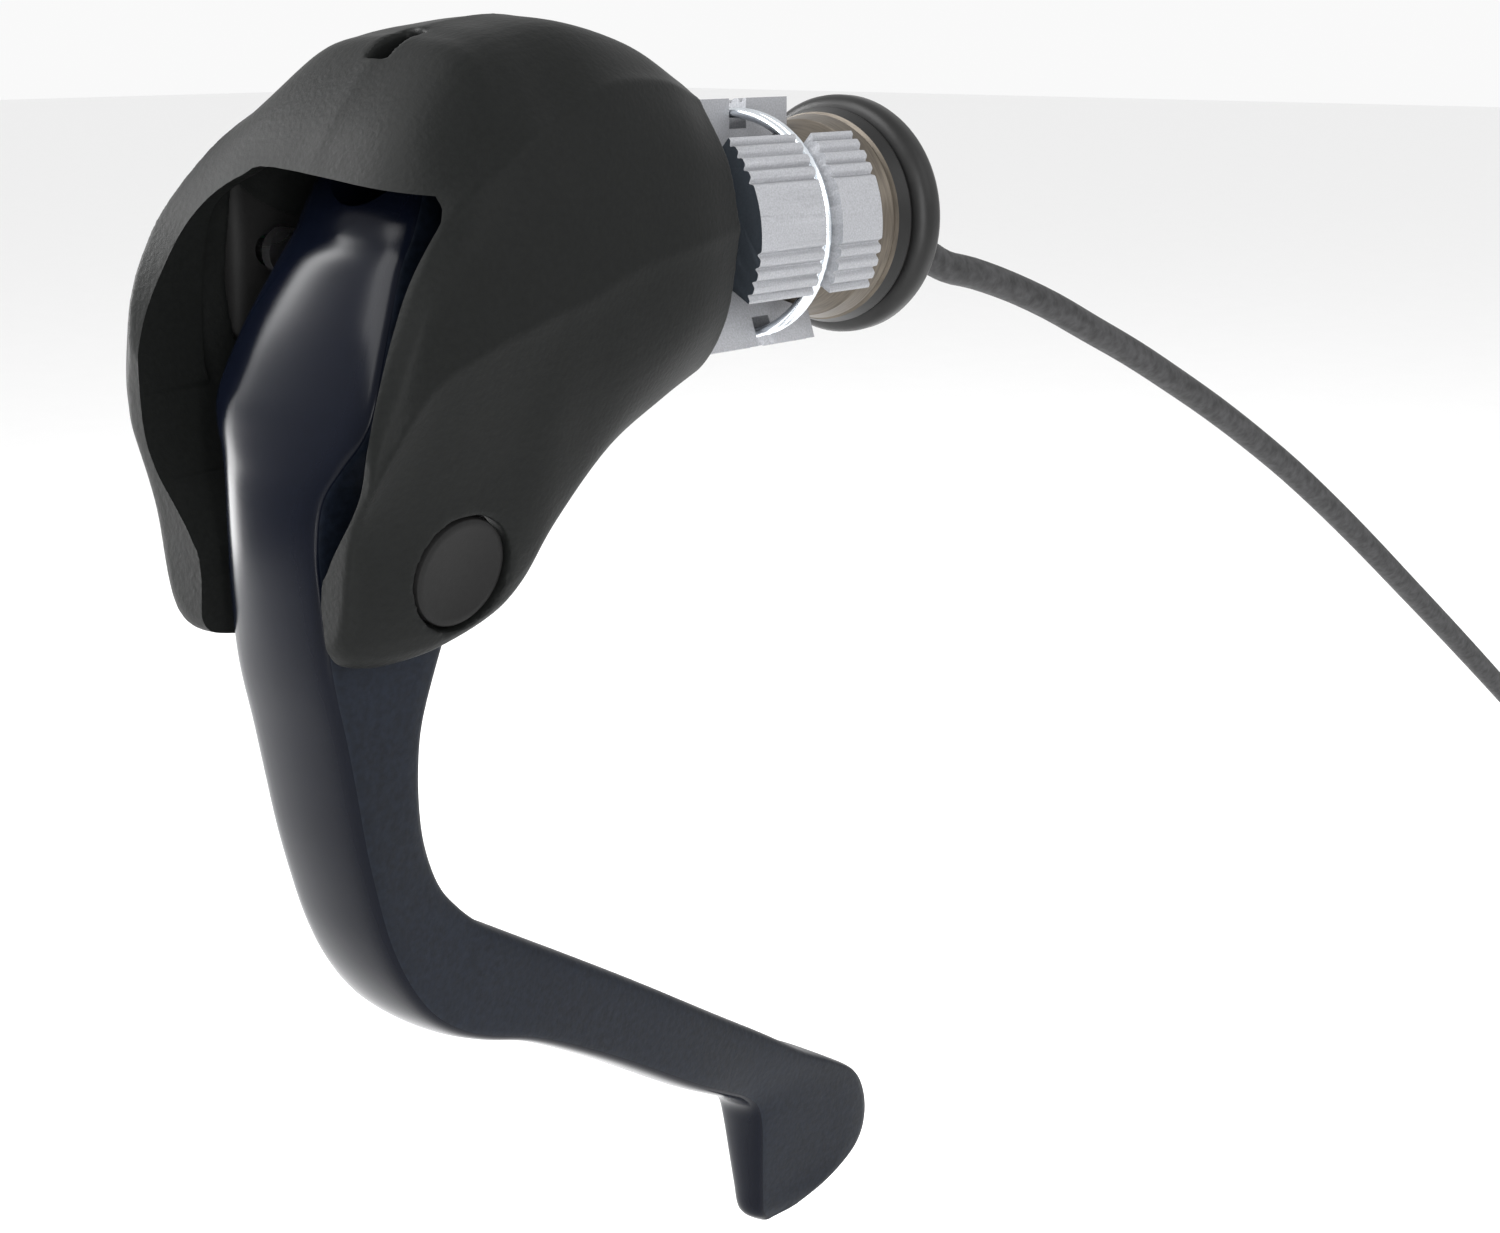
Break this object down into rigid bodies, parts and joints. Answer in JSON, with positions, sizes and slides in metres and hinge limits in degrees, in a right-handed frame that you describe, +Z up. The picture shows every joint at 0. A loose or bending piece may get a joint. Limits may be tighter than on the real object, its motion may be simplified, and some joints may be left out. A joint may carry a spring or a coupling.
{
  "type": "brake shift lever",
  "caption": "Bar-end brake lever with a curved hooked blade, soft hood, side shift buttons, expanding bar plug and electronic wire.",
  "frame": {"origin": "centre of the hood's rear face, where it butts against the end of the handlebar, on the clamping plug's axis", "axes": "+X back along the plug into the bar, +Z up, +Y to the side with the shift buttons, the rider's right"},
  "size_m": [0.2656, 0.0306, 0.1475],
  "materials": {
    "hood": "soft satin black",
    "bracket": "moulded composite, satin",
    "cap": "fine matt black",
    "blade": "gloss blue-black lacquer, satin sides",
    "steel": "bright steel",
    "bronze": "plain bearing bronze",
    "segment": "bead-blasted",
    "ring": "bright zinc-plated wire",
    "cone": "satin brown-grey",
    "rim": "matt black",
    "button": "satin dark grey",
    "board": "solder-masked board",
    "wire": "satin dark grey sleeve",
    "plug": "black"
  },
  "bodies": {
    "bracket": {"bracket_cover": "hood", "bracket_core": "bracket", "axle_cap_near": "cap", "axle_cap_far": "cap", "pivot_axle": "steel", "lever_spring": "steel", "cable_stop": "steel", "front_cone": "cap", "bolt_washer": "steel", "switch_housing": "cap", "circuit_board": "board", "switch_dome_upper": "steel", "switch_dome_lower": "steel", "pod_screw_front": "steel", "pod_screw_rear": "steel", "shift_wire": "wire", "wire_coil": "wire", "wire_tie": "plug", "wire_plug": "plug"},
    "lever": {"lever_blade": "blade", "lever_bush_near": "bronze", "lever_bush_far": "bronze"},
    "anchor": {"cable_anchor": "steel"},
    "bolt": {"clamp_bolt": "steel"},
    "cone": {"rear_cone": "cone", "rear_rim": "rim", "wire_grommet": "rim"},
    "segment_1": {"clamp_segment_1": "segment"},
    "segment_2": {"clamp_segment_2": "segment"},
    "segment_3": {"clamp_segment_3": "segment"},
    "ring": {"clamp_ring": "ring"},
    "button_upper": {"shift_button_upper": "button"},
    "button_lower": {"shift_button_lower": "button"}
  },
  "joints": [
    {"name": "lever_pivot", "type": "hinge", "parent": "bracket", "child": "lever", "pos_m": [-0.0275, 0, -0.0192], "axis": [0, -1, 0], "range_deg": [0, 30], "stiffness_Nm_per_rad": 0.15, "springref_deg": -17.19},
    {"name": "anchor_turn", "type": "hinge", "parent": "lever", "child": "anchor", "pos_m": [-0.0236, 0, -0.0008], "axis": [0, -1, 0], "range_deg": [-30, 0]},
    {"name": "cone_slide", "type": "slide", "parent": "bracket", "child": "cone", "axis": [-1, 0, 0], "range_m": [0, 0.00275]},
    {"name": "bolt_turn", "type": "hinge", "parent": "bracket", "child": "bolt", "pos_m": [0, 0, 0], "axis": [1, 0, 0], "range_deg": [0, 994]},
    {"name": "segment_1_slide", "type": "slide", "parent": "bracket", "child": "segment_1", "axis": [-0.9397, -0.3378, 0.0535], "range_m": [0, 0.00147]},
    {"name": "segment_2_slide", "type": "slide", "parent": "bracket", "child": "segment_2", "axis": [-0.9397, 0.2153, 0.2658], "range_m": [0, 0.00147]},
    {"name": "segment_3_slide", "type": "slide", "parent": "bracket", "child": "segment_3", "axis": [-0.9397, 0.1226, -0.3193], "range_m": [0, 0.00147]},
    {"name": "ring_slide", "type": "slide", "parent": "bracket", "child": "ring", "axis": [-1, 0, 0], "range_m": [0, 0.00139]},
    {"name": "button_upper_press", "type": "slide", "parent": "bracket", "child": "button_upper", "axis": [0, -1, 0], "range_m": [0, 0.0008], "stiffness_N_per_m": 300, "springref_m": -0.001},
    {"name": "button_lower_press", "type": "slide", "parent": "bracket", "child": "button_lower", "axis": [0, -1, 0], "range_m": [0, 0.0008], "stiffness_N_per_m": 300, "springref_m": -0.001}
  ],
  "couplings": [
    {"joint": "anchor_turn", "follows": "lever_pivot", "ratio": -1},
    {"joint": "bolt_turn", "follows": "cone_slide", "rad_per_m": 6283.2},
    {"joint": "segment_1_slide", "follows": "cone_slide", "ratio": 0.53209},
    {"joint": "segment_2_slide", "follows": "cone_slide", "ratio": 0.53209},
    {"joint": "segment_3_slide", "follows": "cone_slide", "ratio": 0.53209},
    {"joint": "ring_slide", "follows": "cone_slide", "ratio": 0.5}
  ]
}
